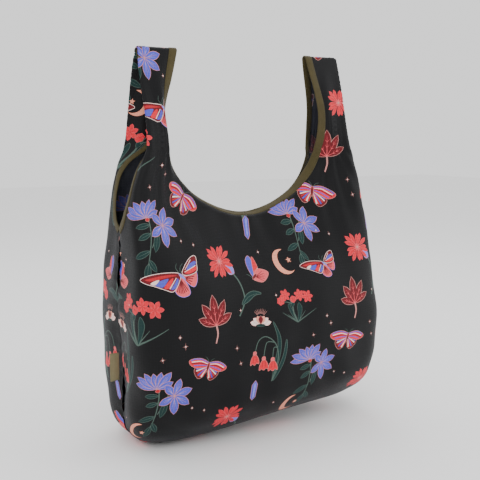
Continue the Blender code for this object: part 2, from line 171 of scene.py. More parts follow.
def section(z):
    """Front half of the outline at height z, evenly spaced left to right."""
    a = half_width(z)
    b = half_depth(z)
    n = smooth(LEVELS, SQUARE, z)
    p = np.linspace(math.pi, 0, 1441)
    c = np.cos(p)
    x = a * np.sign(c) * np.abs(c) ** (2 / n)
    y = -b * np.abs(np.sin(p)) ** (2 / n)
    tuck = smooth(TUCK_LEVELS, TUCK, z) * np.clip(1 - np.abs(y) / b, 0, 1)
    x = x - np.sign(x) * tuck * step_up((np.abs(x) / a - 0.72) / 0.22)
    inset = smooth(SEAM_LEVELS, SEAM_IN, z) * np.exp(-(y / SEAM_REACH) ** 2)
    x = x - np.sign(x) * inset * step_up((np.abs(x) / a - 0.8) / 0.1)
    y = y * draw(x, z)
    run = np.concatenate(([0], np.cumsum(np.hypot(np.diff(x), np.diff(y)))))
    s = np.linspace(0, run[-1], STATIONS)
    return np.interp(s, run, x), np.interp(s, run, y), run[-1] / 2


# Cloth coordinates: s round the bag from the middle of the front, v up the
# cloth.  Above the rounded bottom v is the height; below it v follows the curve
# under the bag to the bottom seam.
BASE_HALF = HALF_DEPTH[0] - ROUND_Y
V_CURVE = ROUND_Y - ROUND_Y * math.pi / 2
V_SEAM = V_CURVE - BASE_HALF
V_LEVELS = np.concatenate((
    np.linspace(V_SEAM, V_CURVE, 8),
    np.linspace(V_CURVE, ROUND_Y, 61)[1:],
    np.linspace(ROUND_Y, HEIGHT - 0.008, 360)[1:],
    np.linspace(HEIGHT - 0.008, HEIGHT, 17)[1:],
))


def build_table():
    xs = []
    ys = []
    zs = []
    halves = []
    for v in V_LEVELS:
        angle = min(max((ROUND_Y - v) / ROUND_Y, 0), math.pi / 2)
        z = v if v >= ROUND_Y else ROUND_Y * (1 - math.sin(angle))
        x, y, half = section(max(z, 0.0))
        if v < V_CURVE:
            share = (V_CURVE - v) / BASE_HALF
            x = x * (1 - (1 - BASE_IN) * share)
            y = y * (1 - share)
        xs.append(x)
        ys.append(y)
        zs.append(max(z, 0.0))
        halves.append(half)
    return np.array(xs), np.array(ys), np.array(zs), np.array(halves)


TABLE_X, TABLE_Y, TABLE_Z, TABLE_S = build_table()


def half_round(v):
    return np.interp(v, V_LEVELS, TABLE_S)


def folds(s, v, phase):
    """Soft folds of the cloth, outwards, in metres."""
    side = np.abs(s)
    upper = np.exp(-((v - 0.375) / 0.085) ** 2)
    foot = np.exp(-((side - 0.150) / 0.050) ** 2)
    fan = np.arctan2(side - 0.158, np.maximum(0.47 - v, 0.02))
    out = 0.0016 * upper * foot * np.sin(fan * 21 + phase)
    rise = np.clip((v - 0.38) / 0.05, 0, 1) * np.clip((0.585 - v) / 0.05, 0, 1)
    out += 0.0011 * rise * np.sin(side * 190 + 6 * v + phase)
    under = np.exp(-((v - 0.325) / 0.035) ** 2) * np.exp(-(s / 0.085) ** 2)
    out += 0.0011 * under * np.sin(s * 150 + 0.8 * np.sin(v * 40) + phase)
    body = np.clip((0.36 - v) / 0.08, 0, 1)
    out += 0.0026 * body * np.sin(s * 21 + v * 13 + phase) * np.sin(v * 19 - s * 7 + 1.3 * phase)
    out += 0.0011 * body * np.sin(s * 47 - v * 31 + 2 * phase) * np.sin(v * 43 + s * 17 + phase)
    ripple = np.clip((0.40 - v) / 0.08, 0, 1) * np.sin(s * 96 + 1.6 * np.sin(v * 15 + phase))
    out += 0.0007 * ripple * np.sin(v * 11 + phase)
    low = np.exp(-((v - 0.05) / 0.045) ** 2) * np.clip(side / 0.1, 0, 1)
    out += 0.0018 * low * np.sin(s * 62 + v * 55 + phase)
    seam = np.maximum(half_round(v) - side, 0)
    near = np.exp(-(seam / 0.006) ** 2) * np.clip((ARM_BOTTOM + 0.02 - v) / 0.02, 0, 1)
    out += near * (-0.0011 + 0.0004 * np.sin(v * 420 + phase))
    pucker = np.exp(-(seam / 0.016) ** 2) * np.clip((ARM_BOTTOM - v) / 0.03, 0, 1)
    out += 0.0006 * pucker * np.sin(v * 260 + 1.7 * np.sin(v * 33) + phase)
    top = np.clip((HEIGHT - v) / 0.012, 0, 1)
    return out * top * np.clip((v + 0.005) / 0.035, 0, 1)


def lookup(table, s, v):
    s = np.asarray(s, float)
    v = np.clip(np.asarray(v, float), V_SEAM, HEIGHT)
    u = np.clip((s / half_round(v) + 1) / 2, 0, 1) * (STATIONS - 1)
    i = np.minimum(u.astype(int), STATIONS - 2)
    k = np.clip(np.searchsorted(V_LEVELS, v) - 1, 0, len(V_LEVELS) - 2)
    f = (v - V_LEVELS[k]) / (V_LEVELS[k + 1] - V_LEVELS[k])
    g = u - i
    low = table[k, i] * (1 - g) + table[k, i + 1] * g
    high = table[k + 1, i] * (1 - g) + table[k + 1, i + 1] * g
    return low * (1 - f) + high * f


def bare(s, v):
    z = np.interp(v, V_LEVELS, TABLE_Z)
    return np.stack((lookup(TABLE_X, s, v), lookup(TABLE_Y, s, v), z + 0 * np.asarray(s, float)), -1)


def unit(vectors):
    return vectors / np.maximum(np.linalg.norm(vectors, axis=-1, keepdims=True), 1e-12)


def normal_of(point, s, v, step=0.0012):
    """Outward normal by differences, kept inside the cloth's outline."""
    half = half_round(v)
    s1 = np.clip(s + step, -half, half)
    s0 = np.clip(s - step, -half, half)
    v1 = np.minimum(v + step, HEIGHT)
    v0 = np.maximum(v - step, V_SEAM)
    t = s / half
    du = point(s1, v) - point(s0, v)
    dv = point(t * half_round(v1), v1) - point(t * half_round(v0), v0)
    return unit(np.cross(du, dv))


# ---- edges of the cloth in cloth coordinates ------------------------------------
def place_of(x, v):
    half = float(half_round(v))
    s = np.linspace(0, half * 0.9, 260)
    return float(np.interp(x, lookup(TABLE_X, s, v + 0 * s), s))


NECK_Q = np.linspace(0, 1, 161)
NECK_V = NECK_BOTTOM + (HEIGHT - NECK_BOTTOM) * NECK_Q ** 2
NECK_S = np.array([place_of(float(neck_half(v)), v) for v in NECK_V])
ARM_V = np.concatenate((
    ARM_BOTTOM + 0.03 * np.linspace(0, 1, 24) ** 1.6,
    np.linspace(ARM_BOTTOM + 0.032, HEIGHT, 110),
))
ARM_S = half_round(ARM_V) - smooth(ARM_LEVELS, ARM_HALF, ARM_V)
NECK_RUN = np.concatenate(([0], np.cumsum(np.hypot(np.diff(NECK_S), np.diff(NECK_V)))))
EDGE_AT = np.linspace(0, NECK_RUN[-1], 300)
EDGE_S = np.interp(EDGE_AT, NECK_RUN, NECK_S)
EDGE_V = np.interp(EDGE_AT, NECK_RUN, NECK_V)


def evened(values, mirror, span=14):
    """Running mean along the neck edge, carried across the middle of the bag."""
    longer = np.concatenate((mirror * values[span:0:-1], values, np.full(span, values[-1])))
    return np.convolve(longer, np.ones(2 * span + 1) / (2 * span + 1), "valid")


EDGE_TS = evened(np.gradient(EDGE_S, EDGE_AT), 1)
EDGE_TV = evened(np.gradient(EDGE_V, EDGE_AT), -1)
EDGE_T = np.hypot(EDGE_TS, EDGE_TV)
EDGE_TS = EDGE_TS / EDGE_T
EDGE_TV = EDGE_TV / EDGE_T


def rolled(base, s, v):
    """Turn the last of the cloth inwards along the neck edge."""
    near = (v > NECK_BOTTOM - 0.07) & (np.abs(s) < 0.25)
    out = base(s, v)
    if not near.any():
        return out
    sn = s[near]
    vn = v[near]
    far = np.hypot(np.abs(sn)[:, None] - EDGE_S, vn[:, None] - EDGE_V)
    i = far.argmin(1)
    side = np.sign(sn) + (sn == 0)
    # Towards the opening, across the edge.
    to_s = -EDGE_TV[i]
    to_v = EDGE_TS[i]
    d = (EDGE_S[i] - np.abs(sn)) * to_s + (EDGE_V[i] - vn) * to_v
    nearest = far[np.arange(len(i)), i]
    d = np.where(nearest < 0.006, np.maximum(d, 0), nearest)
    level = np.clip(EDGE_V[i], NECK_BOTTOM, HEIGHT)
    left = np.interp(level, ROLL_LEVELS, ROLL_LEFT)
    right = np.interp(level, ROLL_LEVELS, ROLL_RIGHT)
    angle = np.radians(left + (right - left) * step_up((sn + 0.05) / 0.10)) + 1e-4
    t = np.clip(ROLL - d, 0, None)
    r = BEND / angle
    bent = np.minimum(t, BEND)
    along = r * np.sin(bent / r) + (t - bent) * np.cos(angle)
    deep = r * (1 - np.cos(bent / r)) + (t - bent) * np.sin(angle)
    lost = (ROLL - r * np.sin(angle) - (ROLL - BEND) * np.cos(angle)) * 0.75
    slack = lost * (1 - step_up((d - ROLL) / 0.035))
    step = 0.002
    du = bare(sn + step, vn) - bare(sn - step, vn)
    dv = bare(sn, vn + step) - bare(sn, vn - step)
    n = unit(np.cross(du, dv))
    u = unit(du * (to_s * side)[:, None] + dv * to_v[:, None])
    out[near] += u * (slack - t + along)[:, None] - n * deep[:, None]
    return out


class Face:
    """One side of the bag: the front, or the back with its own folds."""

    def __init__(self, back):
        self.back = back
        self.phase = 2.1 if back else 0.4
        self.flip = np.array((1.0, -1.0 if back else 1.0, 1.0))

    def folded(self, s, v):
        p = bare(s, v) + normal_of(bare, s, v) * folds(s, v, self.phase)[..., None]
        side = np.abs(p[..., 0])
        if not self.back:
            p[..., 0] += (p[..., 0] < 0) * np.interp(v, FOLD_LEVELS, FOLD_IN) * step_up((side - 0.13) / 0.065)
        low = step_up((p[..., 2] - 0.015) / 0.045) * (1 - step_up((p[..., 2] - 0.075) / 0.085))
        p[..., 0] += CORNER_OUT * low * step_up((p[..., 0] - 0.10) / 0.09)
        p[..., 2] += lift_at(p[..., 0]) * (1 - step_up(p[..., 2] / 0.24))
        return p

    def front_point(self, s, v):
        return rolled(self.folded, s, v)

    def point(self, s, v):
        s = np.asarray(s, float)
        return self.front_point(s, np.asarray(v, float) + 0 * s) * self.flip

    def normal(self, s, v):
        return normal_of(self.front_point, np.asarray(s, float), np.asarray(v, float)) * self.flip


FRONT = Face(False)
BACK = Face(True)


def spaced(s, v, step):
    """The curve again with even steps."""
    run = np.concatenate(([0], np.cumsum(np.hypot(np.diff(s), np.diff(v)))))
    at = np.linspace(0, run[-1], max(int(run[-1] / step), 2) + 1)
    return np.interp(at, run, s), np.interp(at, run, v)


def outline():
    """Right half of the panel's edge, from the bottom middle round to the neck."""
    base_s, base_v = spaced(np.array((0, half_round(V_SEAM))), np.array((V_SEAM, V_SEAM)), 0.004)
    side_v = np.linspace(V_SEAM, ARM_BOTTOM, 121)
    side_s, side_v = spaced(half_round(side_v), side_v, 0.0035)
    arm_s, arm_v = spaced(ARM_S, ARM_V, 0.0025)
    top_s, top_v = spaced(np.array((ARM_S[-1], NECK_S[-1])), np.array((HEIGHT, HEIGHT)), 0.003)
    neck_s, neck_v = spaced(NECK_S[::-1], NECK_V[::-1], 0.0025)
    s = np.concatenate((base_s[:-1], side_s[:-1], arm_s[:-1], top_s[:-1], neck_s))
    v = np.concatenate((base_v[:-1], side_v[:-1], arm_v[:-1], top_v[:-1], neck_v))
    return s, v


# ---- print: shapes in millimetres ---------------------------------------------
def srgb(r, g, b):
    def line(c):
        c = c / 255
        return c / 12.92 if c <= 0.04045 else ((c + 0.055) / 1.055) ** 2.4
    return line(r), line(g), line(b)


INKS = {
    "black": srgb(7, 7, 9),
    "violet": srgb(76, 78, 182),
    "lilac": srgb(122, 122, 208),
    "coral": srgb(208, 38, 50),
    "rose": srgb(214, 84, 90),
    "red": srgb(176, 34, 42),
    "maroon": srgb(100, 22, 28),
    "cream": srgb(232, 204, 196),
    "peach": srgb(228, 146, 120),
    "teal": srgb(16, 44, 42),
    "sage": srgb(70, 88, 80),
    "blush": srgb(186, 126, 120),
}
INK_NAMES = list(INKS)


def turn(points, angle=0.0, scale=1.0, at=(0, 0)):
    a = math.radians(angle)
    c = math.cos(a) * scale
    s = math.sin(a) * scale
    return [(at[0] + x * c - y * s, at[1] + x * s + y * c) for x, y in points]


def rounded(points, per=4, closed=True):
    """Smooth curve through the points."""
    out = []
    n = len(points)
    last = n if closed else n - 1
    for i in range(last):
        p0 = points[(i - 1) % n] if closed or i > 0 else points[0]
        p1 = points[i]
        p2 = points[(i + 1) % n]
        p3 = points[(i + 2) % n] if closed or i + 2 < n else points[n - 1]
        for k in range(per):
            t = k / per
            row = []
            for a in (0, 1):
                curve = 2 * p0[a] - 5 * p1[a] + 4 * p2[a] - p3[a]
                cube = 3 * p1[a] - p0[a] - 3 * p2[a] + p3[a]
                row.append(0.5 * (2 * p1[a] + (p2[a] - p0[a]) * t + curve * t * t + cube * t ** 3))
            out.append(tuple(row))
    if not closed:
        out.append(points[-1])
    return out


def petal(at, angle, length, width, belly=0.5, steps=6, blunt=0.8):
    """Petal or leaf from its foot, fullest at belly along its length."""
    power = math.log(0.5) / math.log(belly)
    up = []
    for k in range(1, steps):
        t = k / steps
        up.append((t * length, width / 2 * math.sin(math.pi * t ** power) ** blunt))
    shape = [(0, 0)] + up + [(length, 0)] + [(x, -y) for x, y in reversed(up)]
    return turn(shape, angle, 1, at)


def stroke(points, wide, end=0.2):
    """Line of a given width that thins towards its end."""
    path = rounded(points, closed=False)
    left = []
    right = []
    n = len(path)
    for i, (x, y) in enumerate(path):
        x0, y0 = path[max(i - 1, 0)]
        x1, y1 = path[min(i + 1, n - 1)]
        size = math.hypot(x1 - x0, y1 - y0) or 1
        w = wide / 2 * (1 + (end - 1) * i / (n - 1))
        left.append((x - (y1 - y0) / size * w, y + (x1 - x0) / size * w))
        right.append((x + (y1 - y0) / size * w, y - (x1 - x0) / size * w))
    return left + right[::-1]


def area_of(shape):
    """Twice the shape's area, positive when it runs anticlockwise."""
    return sum(shape[i - 1][0] * shape[i][1] - shape[i][0] * shape[i - 1][1] for i in range(len(shape)))


def grown(points, by):
    """The same shape, larger by a margin all round."""
    n = len(points)
    sign = 1 if area_of(points) > 0 else -1
    out = []
    for i in range(n):
        x0, y0 = points[i - 1]
        x1, y1 = points[(i + 1) % n]
        dx = x1 - x0
        dy = y1 - y0
        size = math.hypot(dx, dy) or 1
        out.append((points[i][0] + sign * dy / size * by, points[i][1] - sign * dx / size * by))
    return out


def away(at, angle, far):
    """The point at a distance and an angle from another."""
    a = math.radians(angle)
    return at[0] + far * math.cos(a), at[1] + far * math.sin(a)


def disc(radius, count, step):
    return [(radius * math.cos(k * step), radius * math.sin(k * step)) for k in range(count)]


def edged(ink, shape, by=0.7, line="blush"):
    return [(line, grown(shape, by)), (ink, shape)]


def mark(ink, points, wide, end=0.2):
    return [(ink, stroke(points, wide, end))]


def patch(ink, points):
    return [(ink, rounded(points))]


def blade(points, by=0.8):
    return edged("teal", rounded(points), by, "sage")


def leaf(at, angle, length, width):
    vein = mark("sage", [at, away(at, angle, 0.8 * length)], 0.8)
    return edged("teal", petal(at, angle, length, width), 0.6, "sage") + vein


def lily():
    out = mark("sage", [(-5, 2), (-5, -18), (-9, -44), (-16, -78)], 1.9, 0.6)
    out += mark("sage", [(8, -8), (2, -24), (-6, -40)], 1.5, 0.8)
    out += leaf((-5, -8), 192, 21, 7) + leaf((-6, -20), 206, 20, 7) + leaf((-9, -44), 205, 27, 8)
    out += leaf((-13, -62), 262, 24, 9) + leaf((6, -18), 255, 29, 9) + leaf((-12, -56), 300, 20, 7)
    heart = (-8, 2)
    for angle, length, width in ((176, 37, 9), (158, 36, 10), (132, 29, 10), (104, 24, 9), (78, 26, 9),
                                 (52, 31, 11), (24, 24, 9)):
        out += edged("violet", petal(heart, angle, length, width, 0.58))
        for swing in (-5, 5):
            out += mark("lilac", [heart, away(heart, angle + swing, length * 0.7)], 0.9, 0.5)
        out += mark("blush", [heart, away(heart, angle, length * 0.82)], 0.9)
    out += edged("red", petal((-10, -2), 20, 7, 5), 0.4)
    heart = (17, -10)
    for angle, length, width in ((128, 22, 11), (72, 26, 11), (16, 27, 12), (-36, 28, 12), (-88, 31, 12),
                                 (-146, 25, 11)):
        out += edged("violet", petal(heart, angle, length, width, 0.56))
        for swing in (-9, 9):
            far = away(heart, angle + swing, length * 0.72)
            out += mark("lilac", [away(heart, angle, 5), far], 1.1)
        out += mark("blush", [heart, away(heart, angle, length * 0.8)], 0.9)
    return out


def daisy():
    heart = (0, 0)
    out = mark("sage", [(14, -12), (23, -26), (27, -42), (26, -56), (16, -73)], 2.0, 0.9)
    out += blade([(22, -58), (30, -47), (42, -43), (54, -47), (44, -48), (32, -55)])
    out += mark("sage", [(24, -57), (34, -49), (50, -46)], 0.9)
    out += edged("lilac", petal((8, -6), -42, 16, 12, 0.6), 0.5)
    angles = [30 + k * 25.7 + 5 * math.sin(2.3 * k) for k in range(14)]
    for k, angle in enumerate(angles):
        length = 21.5 + 2.4 * math.sin(1.7 * k + 1)
        out += edged("coral", petal(heart, angle, length, 5.4, 0.70), 0.35, "rose")
    for angle in angles:
        out += mark("red", [heart, away(heart, angle, 15)], 1.1, 0.3)
    out += [("red", disc(5.5, 10, 0.628))]
    out += [("rose", petal(heart, 40 * k, 6.5, 2.2)) for k in range(9)]
    out += [("blush", disc(1.8, 8, 0.785))]
    return out


def lobed_leaf():
    heart = (0, -12)
    out = mark("blush", [(0, -10), (2, -24), (-2, -38)], 3.0, 0.7)
    lobes = ((92, 44, 13), (122, 38, 12), (62, 40, 12), (156, 30, 11), (28, 32, 11))
    out += [("blush", grown(petal(heart, *lobe, 0.55), 0.8)) for lobe in lobes]
    out += [("maroon", petal(heart, *lobe, 0.55)) for lobe in lobes]
    for angle, length, _ in lobes:
        out += mark("rose", [heart, away(heart, angle, length * 0.8)], 1.2)
        for share in (0.35, 0.55):
            fork = away(heart, angle, length * share)
            for swing in (-38, 38):
                out += mark("rose", [fork, away(fork, angle + swing, 5.5)], 0.8)
    return out


def lotus():
    out = []
    for k in range(9):
        a = math.radians(50 + k * 10)
        foot = (9 * math.cos(a), 4 + 9 * math.sin(a))
        out += mark("blush", [foot, (19 * math.cos(a), 4 + 17 * math.sin(a))], 0.8)
    for angle, length, ink in ((168, 19, "cream"), (12, 19, "cream"), (142, 17, "cream"), (38, 17, "cream"),
                               (114, 15, "peach"), (66, 15, "peach"), (90, 14, "maroon")):
        out += edged(ink, petal((0, -5), angle, length, 8, 0.62), 0.5)
    out += edged("teal", petal((-9, -6), 0, 18, 4), 0.4, "sage")
    return out


def bunch():
    out = []
    foot = (0, -42)
    for tip, wide in (((-40, -14), 3.2), ((-27, -20), 2.6), ((54, -14), 3.4), ((24, -16), 2.8)):
        mid = (tip[0] * 0.45, -30 + 0.25 * (tip[1] + 14))
        out += mark("sage", [foot, mid, tip], wide)
    out += blade([(-1, -41), (-13, -26), (-22, -4), (-19, 4), (-14, -8), (-4, -28)])
    out += blade([(1, -41), (3, -22), (3, -6), (8, 4), (15, -8), (10, -26)])
    out += mark("sage", [foot, (-9, -20), (-10, 4)], 4.0, 0.8)
    out += edged("teal", petal((-10, -4), 88, 18, 10), 0.8, "sage")
    out += mark("sage", [(-10, 6), (-18, 16), (-27, 20)], 2.2, 0.7)
    out += mark("sage", [(-9, 6), (4, 14), (17, 17)], 2.2, 0.7)
    out += mark("sage", [(-11, 4), (-24, 9), (-35, 10)], 2.2, 0.7)
    for x, y, reach, start in ((-40, 13, 10, 20), (-26, 25, 14, 10), (-6, 14, 8, 40), (13, 22, 14, 35),
                               (34, 17, 15, 0)):
        for k in range(6):
            out += edged("coral", petal((x, y), start + 60 * k, reach, 7.4, 0.6), 0.5, "rose")
        for k in range(6):
            out += mark("red", [(x, y), away((x, y), start + 60 * k, 0.6 * reach)], 1.0)
    return out


def rays(root, ends, wide, inks, spread=1.6):
    """Stripes of a wing, from its root to its rim."""
    return [(inks[k % len(inks)], stroke([root, end], wide, spread)) for k, end in enumerate(ends)]


def butterfly():
    out = mark("sage", [(9, 10), (4, 17), (6, 24)], 0.9, 0.6)
    out += mark("sage", [(11, 10), (12, 18), (17, 23)], 0.9, 0.6)
    wing = rounded([(8, 3), (0, -11), (4, -22), (15, -27), (26, -23), (24, -12), (16, 0)])
    out += edged("rose", wing, 0.7, "lilac")
    rim = [(4 + 3.2 * k, -17 - 5 * math.sin(0.3 + k * 0.45)) for k in range(7)]
    out += rays((11, 0), rim, 1.0, ("maroon",), 1.5)
    out += edged("rose", rounded([(16, 3), (28, 6), (40, 9), (41, -3), (35, -13), (25, -8)]), 0.7, "lilac")
    out += rays((17, 1), [(29 + 2.4 * k, -9 + 3.8 * k) for k in range(5)], 1.0, ("maroon",), 1.5)
    wing = [(10, 8), (-12, 11), (-36, 9), (-54, 2), (-47, -3), (-30, -8), (-14, -14), (-2, -17), (8, -4)]
    out += edged("maroon", rounded(wing), 0.9, "cream")
    out += patch("red", [(-46, 2), (-30, 6), (-10, 8), (5, 6), (-8, 4.6), (-26, 2), (-38, 0)])
    out += patch("violet", [(-32, -5.5), (-26, -1), (-10, 2.6), (-13, -4), (-20, -10)])
    out += patch("cream", [(-38, -4), (-32, 0), (-24, 1.4), (-31, -6)])
    out += patch("coral", [(-17, -11), (-11, -3), (-2, 3), (-3, -4), (-9, -12)])
    out += mark("cream", [(4, 3), (-8, -13)], 1.0, 1.6)
    out += patch("violet", [(-6, -14), (1, -5), (6, 2), (7, -4), (1, -13)])
    wing = rounded([(15, 8), (21, 19), (32, 29), (43, 31), (43, 18), (41, 9), (27, 5)])
    out += edged("maroon", wing, 0.9, "cream")
    out += patch("violet", [(23, 13), (30, 21), (41, 24), (41, 19), (31, 14)])
    out += patch("coral", [(19, 9), (28, 13), (41, 16), (41, 11), (28, 7)])
    out += mark("cream", [(19, 10), (41, 17.5)], 0.8, 1.4)
    out += mark("cream", [(20, 13), (33, 27)], 0.8, 1.4)
    out += edged("lilac", petal((8, 9), -40, 16, 4.2), 0.4)
    return out


def moth():
    out = []
    for side in (1, -1):
        def m(points):
            return [(side * x, y) for x, y in points]
        out += mark("sage", m([(1, 9), (4, 15), (10, 19)]), 0.8, 0.6)
        wing = m([(2, 3), (11, -1), (25, -5), (25, -14), (15, -24), (7, -21), (2, -9)])
        out += edged("maroon", rounded(wing))
        low = m([(5, -19), (8.5, -20.5), (12, -20.5), (16, -18.5), (19, -15), (22, -11), (23, -7)])
        stripes = ("red", "cream", "coral", "violet", "red", "cream", "violet")
        out += rays(m([(1.5, 1)])[0], low, 1.4, stripes, 1.9)
        wing = m([(1, 9), (16, 14), (30, 12), (41, 6), (38, -1), (26, -5), (11, -2), (2, 2)])
        out += edged("coral", rounded(wing))
        out += mark("violet", m([(2, 9), (17, 12.6), (30, 11), (38.5, 6)]), 1.9, 1.2)
        out += mark("cream", m([(3, 6.5), (18, 9), (36, 4)]), 1.4, 1.5)
        out += mark("maroon", m([(3, 5), (18, 5.4), (35.5, 1)]), 1.4, 1.5)
        out += mark("violet", m([(3, 3), (16, 1.6), (30, -2)]), 1.5, 1.4)
    out += edged("maroon", petal((0, 11), -90, 21, 4.2), 0.5)
    return out


def small_butterfly():
    out = mark("sage", [(-4, -3), (-10, 2), (-14, 4)], 0.8, 0.6)
    out += edged("violet", rounded([(-2, -2), (-7, 12), (-6, 26), (2, 32), (5, 22), (3, 8)]))
    out += edged("coral", rounded([(1, 0), (3, 16), (8, 30), (11, 22), (11, 10), (6, 2)]))
    out += mark("cream", [(6, 7), (12, 10)], 3.2, 0.8)
    out += edged("rose", rounded([(-3, -4), (6, 8), (16, 9), (29, 3), (24, -5), (14, -11), (4, -9)]))
    for k in range(5):
        a = math.radians(-34 + 16 * k)
        out += mark("maroon", [(2, -2), (2 + 18 * math.cos(a), -2 + 15 * math.sin(a))], 1.0, 0.6)
    out += edged("maroon", petal((-5, -5), 35, 13, 4), 0.4)
    return out


def bell(at):
    cup = rounded([(-2, 8), (2, 8), (7, 0), (8, -9), (4, -7), (0, -10), (-4, -7), (-8, -9), (-7, 0)], 3)
    cap = rounded([(-2.4, 13), (2.4, 13), (2.8, 8), (-2.8, 8)], 3)
    out = edged("coral", turn(cup, 0, 1, at), 0.6) + edged("rose", turn(cap, 0, 1, at), 0.4)
    for top, foot in ((-1, -3), (2, 4)):
        out += mark("red", [(at[0] + top, at[1] + 7), (at[0] + foot, at[1] - 5)], 1.4, 0.7)
    return out


def bells():
    out = blade([(-2, -46), (8, -20), (14, 6), (13, 30), (2, 56), (8, 30), (8, 8), (2, -20)])
    out += blade([(-1, -46), (9, -26), (19, -4), (25, 22), (26, 6), (20, -16), (8, -36)])
    out += mark("sage", [(-3, -47), (8, -14), (8, 8), (0, 24), (-14, 33), (-27, 27), (-33, 10)], 1.9, 0.7)
    out += mark("sage", [(2, 21), (-12, 22), (-17, -2)], 1.7, 0.7)
    out += mark("sage", [(7, 11), (1, 11), (-1, -6)], 1.6, 0.7)
    return out + bell((-34, -3)) + bell((-17, -15)) + bell((-1, -19))


def crystal():
    out = edged("violet", [(1, 16), (5, 10), (4, -10), (0, -15), (-4, -11), (-4, 9)], 0.8)
    out += [("lilac", [(1, 13), (3, 9), (2, -9), (0, -12), (-1, -9), (-1, 9)])]
    return out


def moon():
    outer = [away((-2, 0), a, 20) for a in range(72, 322, 12)]
    inner = []
    for a in range(306, 96, -12):
        inner.append((5 + 17 * math.cos(math.radians(a)), 1 + 17.4 * math.sin(math.radians(a))))
    star = [away((7, 1), 90 + 36 * k, 2.1 if k % 2 else 5.0) for k in range(10)]
    return [("peach", outer + inner), ("peach", star)]


def sparkle(size=6.0):
    out = []
    for angle, part in ((0, 0.8), (90, 1.0), (45, 0.5), (135, 0.5)):
        out += [("blush", turn([(-size * part, 0), (0, -0.42), (size * part, 0), (0, 0.42)], angle))]
    out += [("cream", disc(1.0, 6, 1.047))]
    return out


# One repeat of the print, millimetres: shape, place, angle, size.
REPEAT = (256.0, 242.0)
SHAPES = {
    "lily": lily(), "daisy": daisy(), "lobed": lobed_leaf(), "lotus": lotus(), "bunch": bunch(),
    "butterfly": butterfly(), "moth": moth(), "small": small_butterfly(), "bells": bells(),
    "crystal": crystal(), "moon": moon(), "spark": sparkle(), "spark_small": sparkle(3.6),
}
LAYOUT = (
    ("lily", 67, 111, 0, 1.0), ("daisy", -80, 43, 0, 1.1), ("lobed", -105, 208, 0, 1.0),
    ("lotus", -28, 192, -6, 0.95), ("bunch", 29, 212, 0, 0.88), ("butterfly", 90, 25, 0, 0.92),
    ("moth", -122, 137, -14, 0.88), ("bells", -9, 136, 0, 0.95),
    ("crystal", -42, 82, -8, 1.0), ("moon", 38, 33, 4, 0.95), ("small", -25, 17, 0, 0.9),
    ("spark", -72, 157, 0, 0.9), ("spark", -66, 132, 20, 0.9), ("spark_small", 5, 228, 0, 1.0),
    ("spark_small", -2, 50, 0, 1.0), ("spark", 66, 156, 10, 0.9), ("spark_small", -124, 69, 0, 1.0),
    ("spark_small", 112, 77, 0, 1.0), ("spark", 100, 172, 0, 1.0), ("spark_small", 92, 186, 0, 1.2),
    ("spark_small", -60, 213, 0, 1.0),
)
# Some shapes of the front sit off their place in the repeat: shape, row and column
# of the repeat, then the shift, size and turn that are added.
PLAIN = (0, 0, 1, 0)
NUDGE = {
    ("lily", 1, 0): (14, -12, 0.92, 0), ("crystal", 1, 0): (34, 2, 1, 0),
    ("moth", 1, 1): (-10, 0, 1, 0), ("moth", 1, 0): (-2, -3, 0.86, -28), ("moth", 0, 0): (0, 0, 0.86, -4),
    ("butterfly", 1, 0): (6, -2, 0.72, 0), ("bunch", 0, 0): (8, -2, 0.74, 0), ("moon", 1, -1): (-58, 6, 1, 0),
}
# Shapes that one row of the repeat leaves out on the front.
LEFT_OUT = (("butterfly", 0), ("small", 0))
# Share of the surface's extra length that the print follows.
ARC_SHARE = 0.15


# The print follows the cloth, so heights in it are measured along the surface.
WARP_S = np.arange(0, 0.332, 0.004)
WARP_V = np.concatenate(([V_SEAM], np.arange(ROUND_Y, HEIGHT, 0.003), [HEIGHT]))


def build_warp():
    rows = bare(np.tile(WARP_S, (len(WARP_V), 1)), np.tile(WARP_V[:, None], (1, len(WARP_S))))
    step = np.linalg.norm(np.diff(rows, axis=0), axis=-1)
    step[0] = ROUND_Y - V_SEAM
    return np.concatenate((np.full((1, len(WARP_S)), V_SEAM), V_SEAM + np.cumsum(step, 0)))


WARP = build_warp()


def laid(shape):
    """A shape of the flat print in cloth coordinates."""
    out = []
    for x, y in shape:
        k = min(abs(x) / 4, len(WARP_S) - 1.001)
        i = int(k)
        column = WARP[:, i] * (1 - k + i) + WARP[:, i + 1] * (k - i)
        column = WARP_V + ARC_SHARE * (column - WARP_V)
        rise = 0.005 * step_up((x - 95) / 80) * (1 - step_up((y - 325) / 50))
        high = y / 1000 + rise
        over = max(high - column[-1], 0) + min(high - column[0], 0)
        out.append((x, (float(np.interp(high, column, WARP_V)) + over) * 1000))
    return out


def placed_print(shift):
    """All the coloured shapes that meet the cloth, lowest first."""
    out = []
    reach = 60
    wide = 330 + reach
    low = V_SEAM * 1000 - 5 - reach
    high = float(WARP[-1].max()) * 1000 + 5 + reach
    front = shift[0] == 0
    for row in range(-1, 4):
        for col in range(-2, 3):
            for name, x, y, angle, size in LAYOUT:
                if front and (name, row) in LEFT_OUT:
                    continue
                more = NUDGE.get((name, row, col), PLAIN) if front else PLAIN
                ox = x + col * REPEAT[0] + shift[0] + more[0]
                oy = y + row * REPEAT[1] + shift[1] + more[1]
                if abs(ox) > wide or oy < low or oy > high:
                    continue
                for ink, shape in SHAPES[name]:
                    out.append((ink, turn(shape, angle + more[3], size * more[2], (ox, oy))))
    return out


def wound(shape):
    """The shape anticlockwise, beginning at its lowest corner."""
    if area_of(shape) < 0:
        shape = shape[::-1]
    low = min(range(len(shape)), key=lambda i: (shape[i][1], shape[i][0]))
    return shape[low:] + shape[:low]


